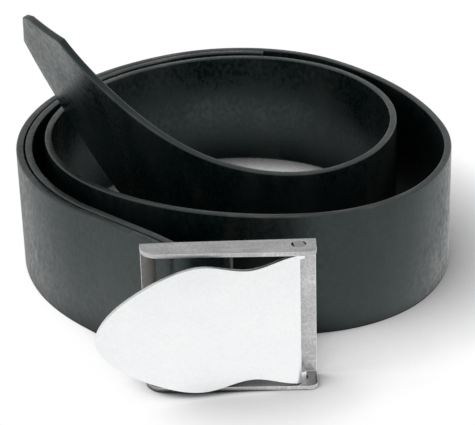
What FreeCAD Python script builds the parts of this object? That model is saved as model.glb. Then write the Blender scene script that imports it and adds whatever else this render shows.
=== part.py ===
# Dive weight belt: a rubber strap coiled on its edge, folded round the middle bar of a bent
# steel buckle frame, with a cam lever on two lugs. Millimetres, +Z up, the floor at Z = 0.
import FreeCAD, Part
import math
import os

V = FreeCAD.Vector
doc = FreeCAD.newDocument("dive_weight_belt")
sheet = doc.addObject("Spreadsheet::Sheet", "sizes")

# ---- driving sizes: name, value, what it is --------------------------------------------------
SIZES = [
    ("belt_width", 50.0, "width of the rubber strap, which stands on its edge"),
    ("belt_thickness", 3.0, "thickness of the rubber"),
    ("layer_gap", 0.6, "air between the outer layer and the end folded back inside it"),
    ("back_fold_arcs", 3.56, "how many of the coil's bends the folded-back end follows"),
    ("approach_x", -33.8, "where the straight stretch beside the buckle begins, across"),
    ("approach_y", -74.4, "where the straight stretch beside the buckle begins, in depth"),
    ("approach_length", 40.0, "length of that straight stretch"),
    ("approach_heading", 132.5, "its direction away from the buckle, degrees from +X"),
    ("bend_radius", 8.0, "centreline radius where the strap turns into line with the buckle"),
    ("tail_length", 173.7, "length of the free end that rises out of the coil"),
    ("tip_upper_cut", 8.0, "how far along the strap the free end's upper corner is cut"),
    ("tip_lower_cut", 13.0, "how far along the strap its lower corner is cut"),
    ("tip_upper", -0.3, "from the middle of the strap up to the upper end of the square tip"),
    ("tip_lower", 8.0, "from the middle of the strap down to its lower end"),
    ("sheet_thickness", 1.6, "steel sheet of the buckle frame and the lever"),
    ("frame_left", -35.2, "left end of the frame"),
    ("frame_length", 62.7, "length of the frame along the strap"),
    ("frame_back", -86.5, "back face of the frame's plate"),
    ("depth_left", 10.8, "depth of the frame over its plate and flanges, left end"),
    ("depth_right", 12.3, "the same at the hinge end"),
    ("flange_bend", 2.0, "outer radius of the bend from the plate into each flange"),
    ("nose_radius", 7.0, "rounded front corner of the flanges, left end"),
    ("heel_radius", 3.0, "rounded front corner of the flanges, hinge end"),
    ("bar_left", 5.4, "width of the frame's left end bar"),
    ("bar_right", 5.9, "width of the frame's right end bar"),
    ("middle_bar", 6.0, "width of the bar that holds the strap"),
    ("middle_bar_start", 23.2, "from the frame's left end to the middle bar"),
    ("floor_gap", 0.2, "air between the strap's lower edge and the bottom flange"),
    ("head_gap", 2.6, "air between the strap's upper edge and the top flange"),
    ("bar_gap", 0.2, "air between the strap and the sheet of the bar that it goes round"),
    ("pivot_inset", 6.2, "from the frame's right end to the hinge axis"),
    ("pivot_forward", 5.5, "from the back of the plate to the hinge axis"),
    ("pivot_radius", 2.75, "hole in each flange"),
    ("pivot_gap", 0.05, "running clearance of a lug in its hole"),
    ("lug_width", 3.6, "width of a lug, whose two long sides are flat"),
    ("lug_neck", 3.0, "how far a lug's root runs down the cam lip"),
    ("lever_angle", 9.5, "how far open the lever stands, degrees"),
    ("lever_length", 74.4, "from the hinge axis to the lever's tip"),
    ("lever_offset", 5.5, "from the hinge axis to the lever's outer face"),
    ("lever_side_gap", 0.3, "air between the lever and each flange"),
    ("heel_offset", 0.2, "from the hinge axis to the lever's bent end"),
    ("heel_bend", 2.4, "outer radius of the bend from the lever's plate into its cam lip"),
    ("lip_reach", 2.6, "how far the cam lip goes behind the hinge axis"),
    ("waist_inset", 4.05, "how much narrower the waist is than the hinge end, each side"),
    ("waist_place", 18.5, "from the hinge axis to the waist"),
    ("bulge_inset", 1.15, "how much narrower the bulge is than the hinge end, each side"),
    ("bulge_place", 34.5, "from the hinge axis to the bulge"),
    ("shoulder_inset", 0.7, "how much narrower the shoulder is than the hinge end, each side"),
    ("shoulder_place", 5.0, "from the hinge axis to the shoulder"),
]
for row, (name, value, note) in enumerate(SIZES, start=1):
    sheet.set("A%d" % row, name)
    sheet.set("B%d" % row, str(value))
    sheet.set("C%d" % row, note)
    sheet.setAlias("B%d" % row, name)
doc.recompute()


def size(name):
    """A driving size, read from the sheet."""
    return float(sheet.get(name))


# The lie of the coil after the straight stretch: each bend's centreline radius and the angle
# that it turns, clockwise seen from above. The first seven bends close the outer layer.
BENDS = [
    (120.0, 5.0), (102.0, 44.5), (102.0, 58.5), (66.5, 69.0), (139.0, 37.0),
    (80.0, 40.5), (59.5, 54.5), (106.0, 47.5), (81.0, 55.0), (82.5, 64.0),
    (64.5, 67.0), (75.5, 69.0), (51.5, 22.6),
]

# How the free end rises, each a cubic in the share of its length, constant term first: its bend in
# plan (1/mm, minus is clockwise), its climb and its lean outwards (both in radians).
TAIL_BEND = (-0.02733, 0.04339, 0.00984, -0.00850)
TAIL_CLIMB = (0.0, 0.281, 1.203, -0.312)
TAIL_LEAN = (0.0, 0.317, -0.880, 1.574)
TAIL_STEPS = 48
TAIL_SECTIONS = 13

# The lever's sides beyond the bulge: shares of the way to the tip and of the bulge's half width.
LEVER_FLANK = [(0.388, 0.874), (0.667, 0.643), (0.890, 0.357)]

width = size("belt_width")
thick = size("belt_thickness")
half = thick / 2
sheet_thickness = size("sheet_thickness")
lift = sheet_thickness + size("floor_gap")
frame_front = size("frame_back") - sheet_thickness
frame_right = size("frame_left") + size("frame_length")
frame_height = width + size("floor_gap") + size("head_gap") + 2 * sheet_thickness


# ---- the strap -------------------------------------------------------------------------------
def heading(angle):
    """Unit vector in plan at an angle from +X, in degrees."""
    return V(math.cos(math.radians(angle)), math.sin(math.radians(angle)), 0)


def outward(angle):
    """Unit vector to the left of a heading, the outer side of the coil."""
    return heading(angle + 90)


def band(start, angle, radius, turn, floor):
    """A clockwise bend of strap as a closed solid, with its end point and end heading."""
    centre = start - outward(angle) * radius
    faces = []
    for edge_radius in (radius + half, radius - half):
        points = [centre + outward(angle - turn * part) * edge_radius for part in (0, 0.5, 1)]
        faces.append([Part.Arc(*points).toShape(), points])
    outer, inner = faces
    close = Part.LineSegment(outer[1][2], inner[1][2]).toShape()
    back = Part.LineSegment(inner[1][0], outer[1][0]).toShape()
    face = Part.Face(Part.Wire([outer[0], close, inner[0], back]))
    face.translate(V(0, 0, floor))
    return face.extrude(V(0, 0, width)), centre + outward(angle - turn) * radius, angle - turn


def run(start, end, floor_start, floor_end):
    """A straight length of strap whose floor may change height along it."""
    side = V(start.y - end.y, end.x - start.x, 0).normalize() * half
    corners = []
    for point, floor in ((start, floor_start), (end, floor_end)):
        corners.append(point - side + V(0, 0, floor))
        corners.append(point - side + V(0, 0, floor + width))
    a, b, c, d = corners
    face = Part.Face(Part.makePolygon([a, c, d, b, a]))
    return face.extrude(side * 2)


def layer(start, bends):
    """The straight stretch and the bends after it: solids, end point and end heading."""
    angle = size("approach_heading")
    point = start + heading(angle) * size("approach_length")
    pieces = [run(start, point, lift, 0)]
    length = size("approach_length")
    for radius, turn in bends:
        piece, point, angle = band(point, angle, radius, turn, 0)
        pieces.append(piece)
        length += math.radians(turn) * radius
    return pieces, point, angle, length


def into_buckle(start, line_y, end_x):
    """From the straight stretch, round one bend and on beside the middle bar."""
    angle = size("approach_heading") + 180
    turn = 360 - angle
    reach = (line_y - start.y) / heading(angle).y
    corner = start + heading(angle) * reach
    tangent = size("bend_radius") * math.tan(math.radians(turn / 2))
    bend_start = corner - heading(angle) * tangent
    bend_end = corner + V(tangent, 0, 0)
    centre = bend_end + V(0, size("bend_radius"), 0)
    wires = []
    for radius in (size("bend_radius") + half, size("bend_radius") - half):
        wires.append([centre + heading(a) * radius for a in (270 - turn, 270 - turn / 2, 270)])
    outer, inner = wires
    face = Part.Face(Part.Wire([
        Part.Arc(*outer).toShape(),
        Part.LineSegment(outer[2], inner[2]).toShape(),
        Part.Arc(*inner).toShape(),
        Part.LineSegment(inner[0], outer[0]).toShape(),
    ]))
    face.translate(V(0, 0, lift))
    bend = face.extrude(V(0, 0, width))
    along_bar = run(bend_end, V(end_x, line_y, 0), lift, lift)
    return [run(start, bend_start, lift, lift), bend, along_bar]


def law(terms, share):
    """The value of a cubic law at a share of the free end's length."""
    return sum(term * share ** power for power, term in enumerate(terms))


def tail(start, angle):
    """The free end: it climbs and leans outwards as it crosses over the coil."""
    length = size("tail_length")
    point = start + V(0, 0, width / 2)
    turned = math.radians(angle)
    wires = []
    at = 0.0
    for section in range(TAIL_SECTIONS + 1):
        station = length * section / TAIL_SECTIONS
        while at < station - 1e-9:
            step = min(length / TAIL_STEPS, station - at)
            share = (at + step / 2) / length
            climb = law(TAIL_CLIMB, share)
            curve = law(TAIL_BEND, share)
            middle = turned + curve * step / 2
            flat = V(math.cos(middle), math.sin(middle), 0) * math.cos(climb)
            point = point + (flat + V(0, 0, math.sin(climb))) * step
            turned += curve * step
            at += step
        climb = law(TAIL_CLIMB, at / length)
        lean = law(TAIL_LEAN, at / length)
        plan = V(math.cos(turned), math.sin(turned), 0)
        along = plan * math.cos(climb) + V(0, 0, math.sin(climb))
        rise = V(0, 0, math.cos(climb)) - plan * math.sin(climb)
        across = rise.cross(along)
        broad = rise * math.cos(lean) + across * math.sin(lean)
        normal = broad.cross(along)
        corners = [point + broad * (width / 2 * u) + normal * (half * v)
                   for u, v in ((-1, -1), (1, -1), (1, 1), (-1, 1))]
        wires.append(Part.makePolygon(corners + corners[:1]))
    ribbon = Part.makeLoft(wires, True, False)

    # The two cut corners of the tip, each a wedge that reaches well past the ribbon.
    spare = 4 * thick
    for sign, kept, cut_back in ((1, size("tip_upper"), size("tip_upper_cut")),
                                 (-1, size("tip_lower"), size("tip_lower_cut"))):
        edge_point = point + broad * (sign * width / 2) - along * cut_back
        end_point = point + broad * (sign * kept)
        slope = end_point - edge_point
        outside = broad * (sign * width)
        corners = [edge_point - slope, end_point + slope,
                   end_point + slope + outside, edge_point - slope + outside]
        wedge = Part.Face(Part.makePolygon(corners + corners[:1]))
        wedge.translate(normal * -spare)
        ribbon = ribbon.cut(wedge.extrude(normal * (2 * spare)))
    return [ribbon]


pitch = thick + size("layer_gap")
front_line = frame_front - size("bar_gap") - half
back_line = size("frame_back") + size("bar_gap") + half
bar_end = size("frame_left") + size("middle_bar_start") + size("middle_bar")
outer_start = V(size("approach_x"), size("approach_y"), 0)
inner_start = outer_start - outward(size("approach_heading")) * pitch

whole = int(size("back_fold_arcs"))
inner_bends = [(radius - pitch, turn) for radius, turn in BENDS[:whole]]
last_radius, last_turn = BENDS[whole]
inner_bends.append((last_radius - pitch, last_turn * (size("back_fold_arcs") - whole)))

coil, coil_end, coil_heading, coil_length = layer(outer_start, BENDS)
fold_back, fold_end, fold_heading, fold_length = layer(inner_start, inner_bends)
loop_centre = V(bar_end, (front_line + back_line) / 2, 0)
loop_radius = (back_line - front_line) / 2
loop = Part.makeCylinder(loop_radius + half, width, loop_centre + V(0, 0, lift))
loop = loop.cut(Part.makeCylinder(loop_radius - half, width, loop_centre + V(0, 0, lift)))
loop = loop.common(Part.makeBox(loop_radius * 3, loop_radius * 4, width,
                                loop_centre + V(0, -2 * loop_radius, lift)))
strap_pieces = coil + fold_back + [loop] + tail(coil_end, coil_heading)
strap_pieces += into_buckle(outer_start, front_line, bar_end)
strap_pieces += into_buckle(inner_start, back_line, bar_end)
strap_shape = strap_pieces[0].multiFuse(strap_pieces[1:])
strap = doc.addObject("Part::Feature", "strap")
strap.Label = "strap"
strap.Shape = strap_shape
strap_length = coil_length + fold_length + size("tail_length") + math.pi * loop_radius
print("strap length without the short turns at the bar: %.0f mm" % strap_length)


# ---- the buckle frame ------------------------------------------------------------------------
def block(name, low, extent):
    """A Part box whose corner and sides are expressions of the sheet's sizes."""
    item = doc.addObject("Part::Box", name)
    for key, text in zip(("x", "y", "z"), low):
        item.setExpression("Placement.Base." + key, text)
    for key, text in zip(("Length", "Width", "Height"), extent):
        item.setExpression(key, text)
    return item


def fuse(name, items):
    item = doc.addObject("Part::MultiFuse", name)
    item.Shapes = items
    return item


def cut(name, base, tools):
    item = doc.addObject("Part::Cut", name)
    item.Base = base
    item.Tool = tools[0] if len(tools) == 1 else fuse(name + "_tools", tools)
    return item


S = "sizes."
front = S + "frame_back - " + S + "depth_right"
height = "(%sbelt_width + %sfloor_gap + %shead_gap + 2 * %ssheet_thickness)" % (S, S, S, S)
back_open = S + "middle_bar_start + " + S + "middle_bar"
channel = block("channel", (S + "frame_left", front, "0"),
                (S + "frame_length", S + "depth_right", height))
inside = block("inside", (S + "frame_left - 1", front + " - 1", S + "sheet_thickness"),
               (S + "frame_length + 2", S + "depth_right + 1 - " + S + "sheet_thickness",
                height + " - 2 * " + S + "sheet_thickness"))
entry = block("entry_slot",
              (S + "frame_left + " + S + "bar_left", front, S + "sheet_thickness"),
              (S + "middle_bar_start - " + S + "bar_left", S + "depth_right + 1",
               height + " - 2 * " + S + "sheet_thickness"))
window = block("window",
               (S + "frame_left + " + back_open, front, S + "sheet_thickness"),
               (S + "frame_length - (" + back_open + ") - " + S + "bar_right",
                S + "depth_right + 1", height + " - 2 * " + S + "sheet_thickness"))
bore = doc.addObject("Part::Cylinder", "pivot_holes")
bore.setExpression("Radius", S + "pivot_radius")
bore.setExpression("Height", height + " + 2")
bore.setExpression("Placement.Base.x",
                   S + "frame_left + " + S + "frame_length - " + S + "pivot_inset")
bore.setExpression("Placement.Base.y", S + "frame_back - " + S + "pivot_forward")
bore.setExpression("Placement.Base.z", "-1")
opened = cut("opened_channel", channel, [inside, entry, window, bore])
doc.recompute()

# The flanges' front outline: slanting, with a broad nose at the left and a smaller heel. At the
# back the sheet's two bends are round outside.
left = size("frame_left")
low_y = size("frame_back") - size("depth_left")
high_y = size("frame_back") - size("depth_right")
over = 1.0
outline = Part.makePolygon([
    V(left, size("frame_back") + over, -over),
    V(left, low_y, -over),
    V(frame_right, high_y, -over),
    V(frame_right, size("frame_back") + over, -over),
    V(left, size("frame_back") + over, -over),
])
profile = Part.Face(outline).extrude(V(0, 0, frame_height + 2 * over))


def upright(shape, x, y):
    """The upright edge of a shape nearest to a corner in plan."""
    edges = [e for e in shape.Edges if abs(e.tangentAt(e.FirstParameter).z) > 0.999]
    return min(edges, key=lambda e: (e.CenterOfMass.x - x) ** 2 + (e.CenterOfMass.y - y) ** 2)


profile = profile.makeFillet(size("nose_radius"), [upright(profile, left, low_y)])
profile = profile.makeFillet(size("heel_radius"), [upright(profile, frame_right, high_y)])
bar = Part.makeBox(size("frame_length") + 2 * over, size("depth_right") + 2 * over, frame_height,
                   V(left - over, high_y - 2 * over, 0))
backs = [edge for edge in bar.Edges if abs(edge.CenterOfMass.y - size("frame_back")) < over / 2
         and abs(edge.tangentAt(edge.FirstParameter).x) > 0.999]
profile = profile.common(bar.makeFillet(size("flange_bend"), backs))
trim = doc.addObject("Part::Feature", "flange_outline")
trim.Shape = profile
frame = doc.addObject("Part::Common", "buckle_frame")
frame.Base = opened
frame.Tool = trim
frame.Label = "buckle_frame"
doc.recompute()

# ---- the lever, drawn closed about its own hinge axis: X to the tip, Y outwards ------------------
hinge_half = (frame_height - 2 * sheet_thickness) / 2 - size("lever_side_gap")
waist_half = hinge_half - size("waist_inset")
bulge_half = hinge_half - size("bulge_inset")
heel = size("heel_offset")


def side(sign):
    """One side of the lever's outline, from its hinge end to beside the tip."""
    reach = size("lever_length") - size("bulge_place")
    points = [
        V(heel, 0, hinge_half),
        V(size("shoulder_place"), 0, hinge_half - size("shoulder_inset")),
        V(size("waist_place"), 0, waist_half),
        V(size("bulge_place"), 0, bulge_half),
    ]
    for along, across in LEVER_FLANK:
        points.append(V(size("bulge_place") + along * reach, 0, across * bulge_half))
    return [V(point.x, 0, sign * point.z) for point in points]


top_side = side(1)
low_side = side(-1)
curve = Part.BSplineCurve()
curve.interpolate(top_side + [V(size("lever_length"), 0, 0)] + low_side[::-1])
plate_wire = Part.Wire([curve.toShape(), Part.LineSegment(low_side[0], top_side[0]).toShape()])
blank = Part.Face(plate_wire)
blank.translate(V(0, -size("lip_reach") - 1, 0))
blank = blank.extrude(V(0, size("lip_reach") + size("lever_offset") + 2, 0))


def quarter(corner, radius):
    """The arc that rounds a corner of the bent sheet, whose centre lies inwards of it."""
    centre = corner + V(radius, -radius, 0)
    return Part.Arc(centre + V(0, radius, 0), centre + heading(135) * radius,
                    centre - V(radius, 0, 0)).toShape()


outer_corner = V(heel, size("lever_offset"), 0)
inner_corner = outer_corner + V(sheet_thickness, -sheet_thickness, 0)
outer_bend = size("heel_bend")
inner_bend = outer_bend - sheet_thickness
past_tip = size("lever_length") + 1
route = [
    quarter(outer_corner, outer_bend),
    Part.LineSegment(outer_corner - V(0, outer_bend, 0), V(heel, -size("lip_reach"), 0)).toShape(),
    Part.LineSegment(V(heel, -size("lip_reach"), 0),
                     V(inner_corner.x, -size("lip_reach"), 0)).toShape(),
    Part.LineSegment(V(inner_corner.x, -size("lip_reach"), 0),
                     inner_corner - V(0, inner_bend, 0)).toShape(),
    quarter(inner_corner, inner_bend),
    Part.LineSegment(inner_corner + V(inner_bend, 0, 0), V(past_tip, inner_corner.y, 0)).toShape(),
    Part.LineSegment(V(past_tip, inner_corner.y, 0), V(past_tip, outer_corner.y, 0)).toShape(),
    Part.LineSegment(V(past_tip, outer_corner.y, 0), outer_corner + V(outer_bend, 0, 0)).toShape(),
]
profile_face = Part.Face(Part.Wire(Part.__sortEdges__(route)))
profile_face.translate(V(0, 0, -hinge_half))
bent = profile_face.extrude(V(0, 0, 2 * hinge_half)).common(blank)
lug_radius = size("pivot_radius") - size("pivot_gap")
lug_reach = frame_height / 2
lugs = []
for sign in (1, -1):
    low = min(sign * lug_reach, sign * (hinge_half - size("lug_neck")))
    tall = abs(lug_reach - hinge_half + size("lug_neck"))
    rod = Part.makeCylinder(lug_radius, tall, V(0, 0, low))
    slab = Part.makeBox(size("lug_width"), 4 * lug_radius, tall,
                        V(-size("lug_width") / 2, -2 * lug_radius, low))
    lugs.append(rod.common(slab))
lever_shape = bent.multiFuse(lugs)
lever = doc.addObject("Part::Feature", "buckle_lever")
lever.Label = "buckle_lever"
lever.Shape = lever_shape
pivot = V(frame_right - size("pivot_inset"), size("frame_back") - size("pivot_forward"),
          frame_height / 2)
lever.Placement = FreeCAD.Placement(pivot, FreeCAD.Rotation(V(0, 0, 1), 180 + size("lever_angle")))

# ---- one origin: the middle of the whole belt's box, on the floor ------------------------------
pieces = [strap, frame, lever]
box = FreeCAD.BoundBox()
for piece in pieces:
    box.add(piece.Shape.optimalBoundingBox(False))
shift = V(-box.Center.x, -box.Center.y, 0)
for piece in pieces:
    spot = piece.Placement
    piece.Placement = FreeCAD.Placement(spot.Base + shift, spot.Rotation)
doc.recompute()
print("origin shift", shift, "hinge axis", pivot + shift)
print("box", box.XLength, box.YLength, box.ZLength, "coil end", coil_end, coil_heading)
print("fold-back end", fold_end, "strap solids", len(strap.Shape.Solids))

for item in doc.Objects:
    if "Invalid" in item.State or "Error" in item.State:
        raise RuntimeError("%s failed: %s" % (item.Name, item.State))
for piece in pieces:
    if piece.Shape.isNull() or not piece.Shape.isValid() or len(piece.Shape.Solids) != 1:
        raise RuntimeError("%s isn't one valid solid" % piece.Label)
os.makedirs("parts", exist_ok=True)
for piece in pieces:
    piece.Shape.exportStep("parts/%s.step" % piece.Label)
    print(piece.Label, "volume %.0f mm3" % piece.Shape.Volume)
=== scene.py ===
# %% [markdown]
# # A dive weight belt
# A rubber strap coiled on its edge, with a stamped steel buckle. The frame holds three pieces at
# their true size: the strap, the buckle's frame and its lever. This lesson gives them edges,
# finishes, a floor and light.

# %% load the frame
import bpy
import math
from mathutils import Matrix, Vector


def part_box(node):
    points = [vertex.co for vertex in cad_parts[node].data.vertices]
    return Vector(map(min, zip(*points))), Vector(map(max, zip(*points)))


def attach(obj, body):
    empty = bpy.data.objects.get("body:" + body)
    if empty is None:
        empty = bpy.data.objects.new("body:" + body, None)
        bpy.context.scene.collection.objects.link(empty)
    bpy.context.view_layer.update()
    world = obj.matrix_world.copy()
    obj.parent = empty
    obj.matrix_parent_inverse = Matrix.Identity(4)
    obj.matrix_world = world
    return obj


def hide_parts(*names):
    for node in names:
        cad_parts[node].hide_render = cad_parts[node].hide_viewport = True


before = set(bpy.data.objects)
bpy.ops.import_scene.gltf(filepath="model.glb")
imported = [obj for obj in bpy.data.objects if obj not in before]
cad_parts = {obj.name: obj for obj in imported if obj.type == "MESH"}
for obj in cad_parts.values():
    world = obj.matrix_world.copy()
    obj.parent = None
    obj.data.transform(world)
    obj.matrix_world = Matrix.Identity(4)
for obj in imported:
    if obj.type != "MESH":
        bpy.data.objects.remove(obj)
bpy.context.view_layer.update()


# %% [markdown]
# ## The camera first
# The belt stands on its edge and is seen from in front and above, through a long lens, so the
# coil's far side looks hardly smaller than its near side. The aim point is measured from the
# buckle, the one stiff thing here, so that the framing stays right if the coil changes.

# %% the camera
LOOK_DOWN = math.radians(25.5)
LEAN = math.radians(-1.68)
DISTANCE = 0.732
LENS = 136.4

frame_low, frame_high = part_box("buckle_frame")
aim = Vector((frame_low[0] + 0.0352, frame_high[1] + 0.0865, 0.025))
turn = Matrix.Rotation(math.pi / 2 - LOOK_DOWN, 4, "X") @ Matrix.Rotation(LEAN, 4, "Z")
camera_data = bpy.data.cameras.new("camera")
camera_data.lens = LENS
camera_data.sensor_width = 36.0
camera = bpy.data.objects.new("camera", camera_data)
bpy.context.scene.collection.objects.link(camera)
back = turn.to_3x3() @ Vector((0, 0, 1))
camera.matrix_world = Matrix.Translation(aim + back * DISTANCE) @ turn
bpy.context.scene.camera = camera
print("camera at", tuple(round(v, 3) for v in camera.location))


# %% [markdown]
# ## Two effects that every finish shares
# Neither rubber nor steel is one flat colour. Both are cloudy on a large scale and grainy on a
# small one. Noise on the object's own coordinates gives both, and it suits pieces with no seams.
# Each effect is a node group, built once, so that a finish says only how big and strong it is.

# %% helpers for the groups
def new_group(name, inputs, output):
    """An empty node group with named sockets, given as name to (kind, default)."""
    group = bpy.data.node_groups.new(name, "ShaderNodeTree")
    for key, (kind, value) in inputs.items():
        socket = group.interface.new_socket(key, in_out="INPUT", socket_type=kind)
        socket.default_value = value
    group.interface.new_socket(output[0], in_out="OUTPUT", socket_type=output[1])
    return group, group.nodes.new("NodeGroupInput"), group.nodes.new("NodeGroupOutput")


def add_noise(group, given):
    """Noise on object coordinates, whose scale, stretch and detail are the group's inputs."""
    place = group.nodes.new("ShaderNodeTexCoord")
    mapping = group.nodes.new("ShaderNodeMapping")
    noise = group.nodes.new("ShaderNodeTexNoise")
    group.links.new(place.outputs["Object"], mapping.inputs["Vector"])
    group.links.new(given.outputs["Stretch"], mapping.inputs["Scale"])
    group.links.new(mapping.outputs["Vector"], noise.inputs["Vector"])
    group.links.new(given.outputs["Scale"], noise.inputs["Scale"])
    group.links.new(given.outputs["Detail"], noise.inputs["Detail"])
    return noise


NUMBER = "NodeSocketFloat"
NOISE_INPUTS = {"Scale": (NUMBER, 100.0), "Stretch": ("NodeSocketVector", (1, 1, 1)),
                "Detail": (NUMBER, 4.0)}

# %% the clouds group: a value
clouds, given, result = new_group("clouds", {
    **NOISE_INPUTS, "Start": (NUMBER, 0.35), "End": (NUMBER, 0.65),
    "Low": (NUMBER, 0.0), "High": (NUMBER, 1.0)}, ("Value", NUMBER))
spread = clouds.nodes.new("ShaderNodeMapRange")
clouds.links.new(add_noise(clouds, given).outputs["Fac"], spread.inputs["Value"])
for key, target in (("Start", "From Min"), ("End", "From Max"),
                    ("Low", "To Min"), ("High", "To Max")):
    clouds.links.new(given.outputs[key], spread.inputs[target])
clouds.links.new(spread.outputs["Result"], result.inputs["Value"])
print("node group", clouds.name)

# %% the grain group: a normal
grain, given, result = new_group("grain", {
    **NOISE_INPUTS, "Strength": (NUMBER, 0.3), "Depth": (NUMBER, 0.0001)},
    ("Normal", "NodeSocketVector"))
bump = grain.nodes.new("ShaderNodeBump")
grain.links.new(add_noise(grain, given).outputs["Fac"], bump.inputs["Height"])
grain.links.new(given.outputs["Strength"], bump.inputs["Strength"])
grain.links.new(given.outputs["Depth"], bump.inputs["Distance"])
grain.links.new(bump.outputs["Normal"], result.inputs["Normal"])
print("node group", grain.name)


# %% [markdown]
# ## Small helpers for materials
# A finish is the Principled shader with a few groups placed in front of it. These helpers place a
# group, mix colours by a mask, join two values, and say where on the object a point lies.

# %% helpers for the materials
def place_group(tree, group, **values):
    """Places a group in a material with its own values, and returns its output."""
    item = tree.nodes.new("ShaderNodeGroup")
    item.node_tree = group
    for key, value in values.items():
        item.inputs[key].default_value = value
    return item.outputs[0]


def mix_colours(tree, mask, first, second):
    """Mixes two colours, or a colour and a socket, by a mask."""
    item = tree.nodes.new("ShaderNodeMix")
    item.data_type = "RGBA"
    tree.links.new(mask, item.inputs["Factor"])
    for value, socket in ((first, item.inputs[6]), (second, item.inputs[7])):
        if isinstance(value, tuple):
            socket.default_value = (*value, 1.0)
        else:
            tree.links.new(value, socket)
    return item.outputs[2]


def combine(tree, operation, first, second):
    """Joins two values by adding, multiplying or taking the larger."""
    item = tree.nodes.new("ShaderNodeMath")
    item.operation = operation
    for value, socket in ((first, item.inputs[0]), (second, item.inputs[1])):
        if isinstance(value, float):
            socket.default_value = value
        else:
            tree.links.new(value, socket)
    return item.outputs[0]


def ramp(tree, source, start, end):
    """One at a start, falling to nothing at an end."""
    item = tree.nodes.new("ShaderNodeMapRange")
    item.inputs["From Min"].default_value = start
    item.inputs["From Max"].default_value = end
    item.inputs["To Min"].default_value = 1.0
    item.inputs["To Max"].default_value = 0.0
    tree.links.new(source, item.inputs["Value"])
    return item.outputs["Result"]


def place_on_object(tree):
    """A point's X, Y and Z on the object."""
    where = tree.nodes.new("ShaderNodeSeparateXYZ")
    coordinates = tree.nodes.new("ShaderNodeTexCoord")
    tree.links.new(coordinates.outputs["Object"], where.inputs["Vector"])
    return where.outputs


def new_material(name):
    """A material with its tree and its Principled shader."""
    material = bpy.data.materials.new(name)
    material.use_nodes = True
    tree = material.node_tree
    return material, tree, tree.nodes["Principled BSDF"]


# %% [markdown]
# ## Rubber
# The strap is moulded rubber with a satin face. What makes it read as rubber and not as plastic is
# the slow cloudy change of its sheen, a fine grain left by the mould, and pale dusty scuffs. The
# rubber itself is almost black: the greys on it are its own gloss, so the colour of that gloss,
# a little green face on and neutral along the edges, is set and not the base colour.

# %% rubber
GLOSS_COLOUR = (0.82, 1.0, 0.99, 1.0)
GLOSS_LEVEL = 0.62


def rubber_finish(name, deep, lighter_tone, dusty, rough, grain_depth, dust_most):
    """Moulded rubber: deep black with cloudy sheen, fine grain and dusty scuffs."""
    material, tree, shader = new_material(name)
    body = mix_colours(tree, place_group(tree, clouds, Scale=30.0, Stretch=(1, 1, 0.6), Detail=5.0),
                       deep, lighter_tone)
    dust = place_group(tree, clouds, Scale=55.0, Stretch=(1, 1, 0.3), Detail=7.0,
                       Start=0.54, End=0.78, High=dust_most)
    strokes = place_group(tree, clouds, Scale=260.0, Stretch=(0.3, 0.3, 1), Detail=6.0,
                          Start=0.55, End=0.80, High=1.0)
    scuffed = combine(tree, "ADD", dust, combine(tree, "MULTIPLY", dust, strokes))
    tree.links.new(mix_colours(tree, scuffed, body, dusty), shader.inputs["Base Color"])
    slow = place_group(tree, clouds, Scale=30.0, Stretch=(1, 1, 0.6), Detail=5.0,
                       Low=rough[0], High=rough[1])
    fast = place_group(tree, clouds, Scale=520.0, Stretch=(1, 1, 0.8), Detail=4.0,
                       Low=-0.08, High=0.08)
    tree.links.new(combine(tree, "ADD", slow, fast), shader.inputs["Roughness"])
    mould = place_group(tree, grain, Scale=900.0, Stretch=(1, 1, 0.25), Detail=4.0,
                        Strength=0.5, Depth=grain_depth)
    tree.links.new(mould, shader.inputs["Normal"])
    shader.inputs["Specular Tint"].default_value = GLOSS_COLOUR
    shader.inputs["Specular IOR Level"].default_value = GLOSS_LEVEL
    return material


rubber = rubber_finish("satin_rubber", (0.0006, 0.0030, 0.0032), (0.0040, 0.0066, 0.0064),
                       (0.026, 0.023, 0.021), (0.26, 0.40), 0.00009, 0.5)
# The rims get a paler rubber, a painted highlight along the rounded edges, with more dust than the
# faces.
rubber_rim = rubber_finish("rubber_rim_painted_highlight", (0.010, 0.011, 0.011), (0.024, 0.024, 0.023),
                           (0.075, 0.071, 0.066), (0.24, 0.34), 0.00006, 0.8)
print("rubber finishes", rubber.name, rubber_rim.name)


# %% [markdown]
# ## Steel
# Frame and lever are stamped stainless sheet, tumbled to a satin. A very fine even grain breaks up
# the reflection, and a faint cloudiness keeps large flat faces from looking painted. The lever's
# steel is set paler than the frame's. The frame's left end carries painted shade.

# %% steel
SPECKLE_SHADE = 0.62
SCRATCH_SHINE = 1.25
BRIGHTEST = 0.98


def steel(name, pale, dull, rough, contrast):
    """Tumbled stainless sheet: cloudy, with a fine speckle and hairline scratches."""
    material, tree, shader = new_material(name)
    speckle_colour = tuple(value * SPECKLE_SHADE for value in dull)
    scratch_colour = tuple(min(value * SCRATCH_SHINE, BRIGHTEST) for value in pale)
    colour = mix_colours(tree, place_group(tree, clouds, Scale=70.0), dull, pale)
    speckle = place_group(tree, clouds, Scale=1300.0, High=contrast)
    colour = mix_colours(tree, speckle, colour, speckle_colour)
    hairs = place_group(tree, clouds, Scale=900.0, Stretch=(0.1, 1, 1), Detail=2.0,
                        Start=0.56, End=0.72, High=contrast * 0.6)
    colour = mix_colours(tree, hairs, colour, scratch_colour)
    tree.links.new(colour, shader.inputs["Base Color"])
    tree.links.new(place_group(tree, clouds, Scale=1300.0, Low=rough[0], High=rough[1]),
                   shader.inputs["Roughness"])
    tree.links.new(place_group(tree, grain, Scale=1300.0, Strength=0.25, Depth=0.0001),
                   shader.inputs["Normal"])
    shader.inputs["Metallic"].default_value = 1.0
    return material, tree, shader, colour
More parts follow.
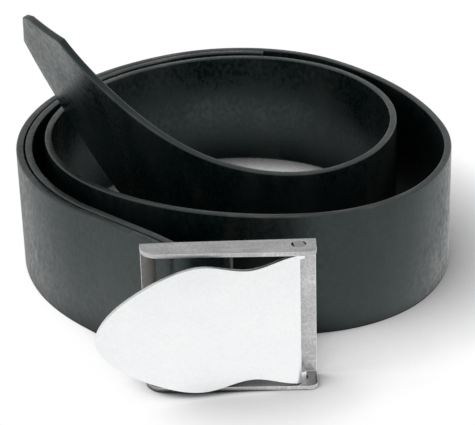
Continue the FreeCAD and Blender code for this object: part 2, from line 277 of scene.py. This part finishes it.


# %% the frame's steel, with painted shade on the plate face at its left end
# How far from the frame's left end the painted shade is full, and where it is gone.
LEFT_BAR_SHADE_START = 0.006
LEFT_BAR_SHADE_END = 0.012
PLATE_DEPTH = (0.0014, 0.0026)
frame_steel, tree, shader, colour = steel("frame_steel", (0.68, 0.68, 0.68), (0.52, 0.52, 0.52),
                                          (0.28, 0.42), 0.50)
where = place_on_object(tree)
left_end = ramp(tree, where["X"], frame_low[0] + LEFT_BAR_SHADE_START, frame_low[0] + LEFT_BAR_SHADE_END)
plate_face = ramp(tree, where["Y"], frame_high[1] - PLATE_DEPTH[0], frame_high[1] - PLATE_DEPTH[1])
# Painted shade: the base plate's left bar, behind the lever and the flanges, is mixed towards a
# near black with a slight brown tint.
left_bar_shade = combine(tree, "MULTIPLY", combine(tree, "MULTIPLY", left_end, plate_face), 0.95)
tree.links.new(mix_colours(tree, left_bar_shade, colour, (0.11, 0.10, 0.09)), shader.inputs["Base Color"])
print("steel finish", frame_steel.name)

# %% the lever's steel, with painted shade on its lugs where they sit in the frame's holes
# Heights from either end of the lever: the painted shade is full within the first and gone at the
# second, the frame's sheet thickness.
LUG_SHADE_FULL = 0.0010
LUG_CLEAR = 0.0018
lever_steel, tree, shader, colour = steel("lever_steel", (0.98, 0.99, 0.99), (0.95, 0.96, 0.98),
                                          (0.30, 0.40), 0.10)
height = place_on_object(tree)["Z"]
# Painted shade on the lugs inside the frame's holes, mixed towards a dark grey.
lug_hole_shade = combine(tree, "MAXIMUM", ramp(tree, height, LUG_SHADE_FULL, LUG_CLEAR),
                   ramp(tree, height, frame_high[2] - LUG_SHADE_FULL, frame_high[2] - LUG_CLEAR))
tree.links.new(mix_colours(tree, lug_hole_shade, colour, (0.42, 0.41, 0.40)), shader.inputs["Base Color"])

print("steel finish", lever_steel.name)

# %% the steel's rounded edges: the frame's paler, as a painted highlight, the lever's a darker steel than its face
# The frame's edges are set paler than its faces, as a painted highlight.
frame_edge = steel("frame_edge_painted_highlight", (0.90, 0.90, 0.90), (0.80, 0.80, 0.80),
                   (0.18, 0.28), 0.15)[0]
lever_edge = steel("lever_edge_steel", (0.80, 0.80, 0.80), (0.66, 0.66, 0.66),
                   (0.18, 0.26), 0.10)[0]
print("edge finishes", frame_edge.name, lever_edge.name)


# %% [markdown]
# ## Pieces with real edges
# The frame gives each piece at its true size but with knife-sharp edges, and no moulded strap or
# tumbled stamping has those. A copy of each piece is welded, its flat areas are joined into whole
# faces again, and its edges are rounded by a bevel, which is how light edge lines appear. The bevel
# takes each piece's second finish, a painted highlight on the strap and the frame.

# %% round the edges of a copy
WELD = 0.00001
FLAT = math.radians(0.4)
SHARP = math.radians(35)
SMOOTH = math.radians(40)
EDGE_SEGMENTS = 3


def rounded_copy(name, node_name, width, materials, body):
    """A copy of a frame node with rounded edges, in place of the node."""
    bpy.ops.object.select_all(action="DESELECT")
    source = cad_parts[node_name]
    piece = bpy.data.objects.new(name, source.data.copy())
    bpy.context.scene.collection.objects.link(piece)
    piece.data.materials.clear()
    for material in materials:
        piece.data.materials.append(material)
    for polygon in piece.data.polygons:
        polygon.material_index = 0
    piece.select_set(True)
    bpy.context.view_layer.objects.active = piece
    if piece.data.has_custom_normals:
        bpy.ops.mesh.customdata_custom_splitnormals_clear()
    bpy.ops.object.mode_set(mode="EDIT")
    bpy.ops.mesh.select_all(action="SELECT")
    bpy.ops.mesh.remove_doubles(threshold=WELD)
    bpy.ops.mesh.dissolve_limited(angle_limit=FLAT)
    bpy.ops.object.mode_set(mode="OBJECT")
    edge = piece.modifiers.new("edge", "BEVEL")
    edge.width = width
    edge.segments = EDGE_SEGMENTS
    edge.limit_method = "ANGLE"
    edge.angle_limit = SHARP
    # The bevel's faces take the second finish: a painted highlight on the strap and the frame, a
    # darker steel on the lever.
    edge.material = 1
    bpy.ops.object.modifier_apply(modifier="edge")
    bpy.ops.object.shade_smooth_by_angle(angle=SMOOTH)
    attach(piece, body)
    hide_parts(node_name)
    print(name, len(piece.data.polygons), "faces")


# %% the three pieces
RUBBER_EDGE = 0.0006
STEEL_EDGE = 0.00035
rounded_copy("rubber_strap", "strap", RUBBER_EDGE, (rubber, rubber_rim),
             "frame_and_strap")
rounded_copy("steel_frame", "buckle_frame", STEEL_EDGE, (frame_steel, frame_edge),
             "frame_and_strap")
rounded_copy("steel_lever", "buckle_lever", STEEL_EDGE, (lever_steel, lever_edge),
             "lever")


# %% [markdown]
# ## The floor
# A pale floor that the camera and the steel see as white, yet darkened where the belt stands over
# it. How much open sky a spot sees, leaning to where the light comes from, gives that soft shadow.

# %% the floor
FLOOR_SIDE = 6.0
FLOOR_DROP = 0.0002
bpy.ops.object.select_all(action="DESELECT")
bpy.ops.mesh.primitive_plane_add(size=FLOOR_SIDE, location=(0, 0, -FLOOR_DROP))
floor = bpy.context.active_object
floor.name = "floor"
white, tree, shader = new_material("pale_floor")
shader.inputs["Base Color"].default_value = (0.80, 0.80, 0.80, 1)
shader.inputs["Roughness"].default_value = 0.9
shader.inputs["Specular IOR Level"].default_value = 0.0


# %% how open the sky is over a spot
def open_sky(towards, distance, start, end, darkest):
    """How open a spot of floor is towards a direction, as a brightness."""
    shade = tree.nodes.new("ShaderNodeAmbientOcclusion")
    shade.samples = 32
    shade.inputs["Distance"].default_value = distance
    lean = tree.nodes.new("ShaderNodeCombineXYZ")
    for socket, value in zip(lean.inputs, towards):
        socket.default_value = value
    tree.links.new(lean.outputs[0], shade.inputs["Normal"])
    level = tree.nodes.new("ShaderNodeMapRange")
    level.inputs["From Min"].default_value = start
    level.inputs["From Max"].default_value = end
    level.inputs["To Min"].default_value = darkest
    tree.links.new(shade.outputs["AO"], level.inputs["Value"])
    return level.outputs["Result"]


# %% what the camera and the steel see of the floor
path = tree.nodes.new("ShaderNodeLightPath")
seen = combine(tree, "MAXIMUM", path.outputs["Is Camera Ray"],
               path.outputs["Is Transmission Ray"])
within_coil = open_sky((0, 0, 1), 0.14, 0.30, 0.48, 0.05)
beside_belt = open_sky((-0.70, 0.05, 0.71), 0.06, 0.25, 0.85, 0.15)
mirrored = open_sky((0, 0, 1), 0.12, 0.38, 0.60, 0.04)
surface = shader.outputs[0]
for ray, level in ((seen, combine(tree, "MULTIPLY", within_coil, beside_belt)),
                   (path.outputs["Is Glossy Ray"], mirrored)):
    glow = tree.nodes.new("ShaderNodeEmission")
    tree.links.new(level, glow.inputs["Strength"])
    both = tree.nodes.new("ShaderNodeMixShader")
    tree.links.new(ray, both.inputs["Fac"])
    tree.links.new(surface, both.inputs[1])
    tree.links.new(glow.outputs[0], both.inputs[2])
    surface = both.outputs[0]
tree.links.new(surface, tree.nodes["Material Output"].inputs["Surface"])
floor.data.materials.append(white)
print("floor", floor.name)


# %% [markdown]
# ## The light
# The lamps are large and soft, so that the satin rubber shows broad gentle sheens and no hard
# spots. The world adds an even light from all around.

# %% the lamps
def lamp(name, place, towards, size, watts):
    """A soft rectangular lamp that isn't mirrored in the steel."""
    data = bpy.data.lights.new(name, "AREA")
    data.shape = "RECTANGLE"
    data.size = size[0]
    data.size_y = size[1]
    data.energy = watts
    item = bpy.data.objects.new(name, data)
    bpy.context.scene.collection.objects.link(item)
    item.location = place
    item.visible_glossy = False
    item.rotation_euler = (Vector(towards) - Vector(place)).to_track_quat("-Z", "Y").to_euler()
    print(name, watts, "W")


lamp("left_softbox", (-0.9, -0.5, 0.5), (0, 0, 0.02), (0.8, 0.8), 3.0)
lamp("top_softbox", (0.1, 0.3, 1.3), (0, 0, 0), (1.0, 1.0), 9.0)
lamp("right_softbox", (1.0, -0.2, 0.6), (0, 0, 0.02), (0.5, 0.8), 2.0)

# %% the world
WORLD_LIGHT = 0.62
world = bpy.data.worlds.new("studio")
bpy.context.scene.world = world
world.use_nodes = True
tree = world.node_tree
sky = tree.nodes["Background"]
sky.inputs["Color"].default_value = (1, 1, 1, 1)
path = tree.nodes.new("ShaderNodeLightPath")
seen = combine(tree, "MAXIMUM", path.outputs["Is Camera Ray"],
               path.outputs["Is Transmission Ray"])
strength = tree.nodes.new("ShaderNodeMapRange")
strength.inputs["To Min"].default_value = WORLD_LIGHT
tree.links.new(seen, strength.inputs["Value"])
tree.links.new(strength.outputs["Result"], sky.inputs["Strength"])
bpy.context.scene.view_settings.view_transform = "Standard"
print("world light", WORLD_LIGHT)
